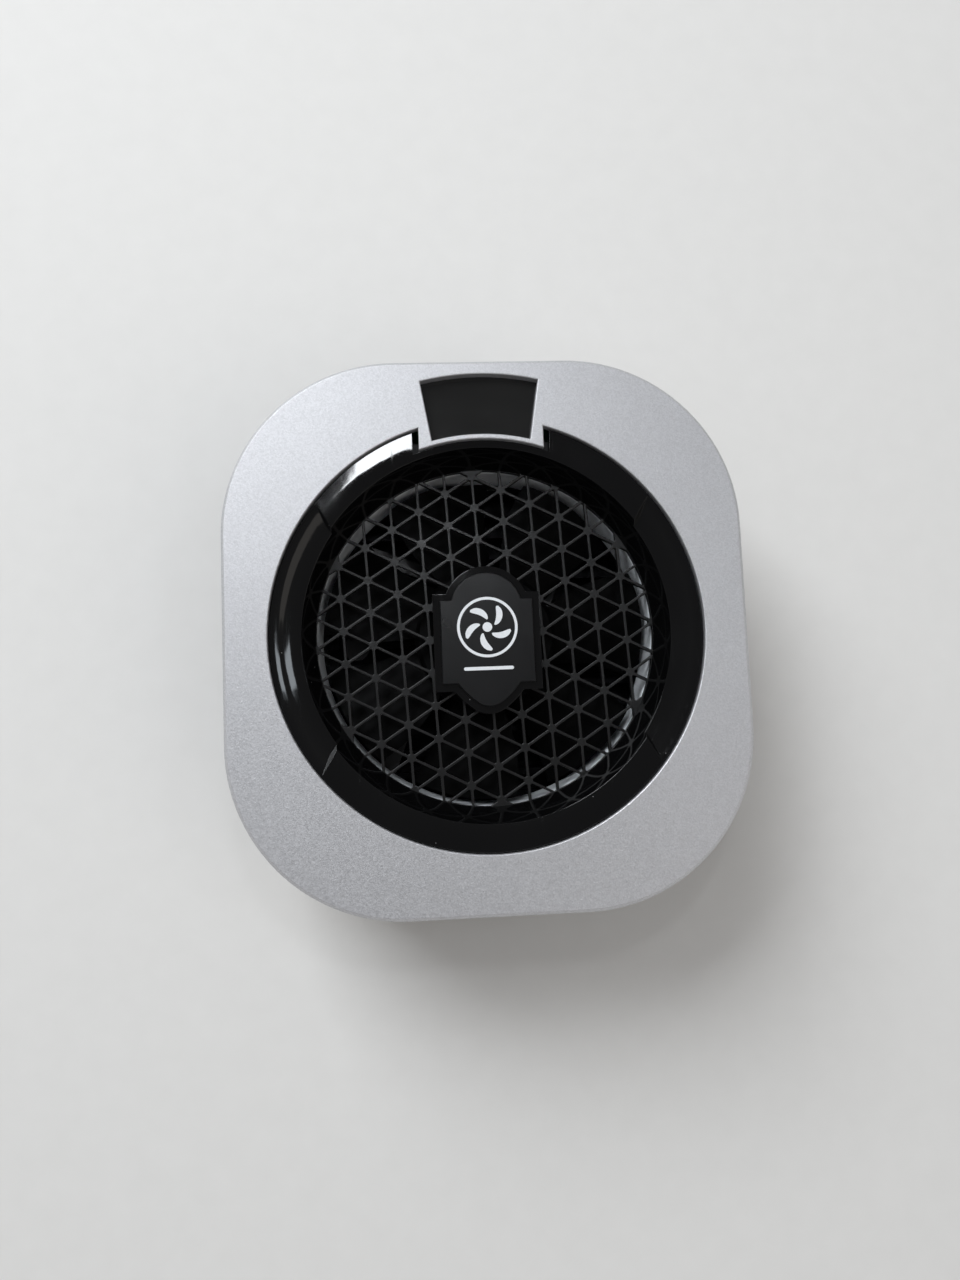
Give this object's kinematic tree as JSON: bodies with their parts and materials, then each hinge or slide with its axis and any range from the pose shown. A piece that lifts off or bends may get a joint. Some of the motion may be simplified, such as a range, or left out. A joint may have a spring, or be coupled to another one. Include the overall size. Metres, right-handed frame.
{
  "type": "phone cooling fan",
  "caption": "Rounded-square magnetic phone cooler with a silver shell, a round stepped air intake behind a triangular grille, a fan and a thermoelectric cold plate.",
  "frame": {"origin": "middle of the body on the phone side, at the face that rests on the phone", "axes": "+Z out of the air intake, along the fan's axis; +Y towards the display window; the power inlet is on -Y"},
  "size_m": [0.066, 0.07, 0.0261],
  "materials": {
    "silver_paint": "fine metallic satin paint",
    "smoked_window": "smoked, display off",
    "gloss_black": "gloss",
    "satin_black": "satin",
    "matte_black": "matte",
    "shell_black": "fine spark texture",
    "blade_black": "semi-matte",
    "milky_guide": "milky",
    "white_plastic": "matte",
    "board_green": "solder mask",
    "lamp_white": "gloss",
    "screw_steel": "black oxide",
    "bearing_bronze": "sintered",
    "core_steel": "rolled",
    "winding_copper": "enamelled wire",
    "ferrite": "bonded ferrite",
    "plate_aluminium": "brushed",
    "module_ceramic": "matte",
    "pellet_grey": "sintered",
    "foam_black": "closed-cell foam",
    "sensor_black": "resin bead",
    "fin_black": "black anodised",
    "magnet_nickel": "nickel plated",
    "soft_black": "matte silicone",
    "socket_steel": "drawn",
    "tongue_black": "moulded",
    "chip_black": "moulded",
    "button_silver": "fine metallic satin paint",
    "switch_grey": "moulded",
    "display_black": "matte"
  },
  "bodies": {
    "housing": {"top_shell": "silver_paint", "window_lens": "smoked_window", "bezel_ring": "gloss_black", "badge_plate": "satin_black", "badge_boss": "gloss_black", "grille": "matte_black", "light_ring": "milky_guide", "led_board": "board_green", "leds": "lamp_white", "fan_frame": "matte_black", "fan_screws": "screw_steel", "thrust_pad": "white_plastic", "shaft_bearing": "bearing_bronze", "fan_board": "board_green", "stator_core": "core_steel", "stator_windings": "winding_copper", "cold_plate": "plate_aluminium", "tec_cold_ceramic": "module_ceramic", "tec_hot_ceramic": "module_ceramic", "tec_pellets": "pellet_grey", "foam_gasket": "foam_black", "thermistor": "sensor_black", "heatsink": "fin_black", "heatsink_screws": "screw_steel", "magnet_ring": "magnet_nickel", "pad_ring": "soft_black", "main_board": "board_green", "usb_socket": "socket_steel", "usb_tongue": "tongue_black", "board_parts": "chip_black", "tact_switch": "switch_grey", "display_board": "board_green", "display_module": "display_black", "back_shell": "shell_black"},
    "rotor": {"fan_rotor": "blade_black", "rotor_yoke": "core_steel", "rotor_magnet": "ferrite", "rotor_shaft": "screw_steel", "shaft_clip": "white_plastic"},
    "button": {"mode_button": "button_silver", "switch_plunger": "white_plastic"}
  },
  "joints": [
    {"name": "fan_spin", "type": "hinge", "parent": "housing", "child": "rotor", "pos_m": [0, 0, 0], "axis": [0, 0, 1], "continuous": true},
    {"name": "button_press", "type": "slide", "parent": "housing", "child": "button", "axis": [0, 1, 0], "range_m": [0, 0.00035], "stiffness_N_per_m": 3000, "springref_m": -0.0002}
  ]
}
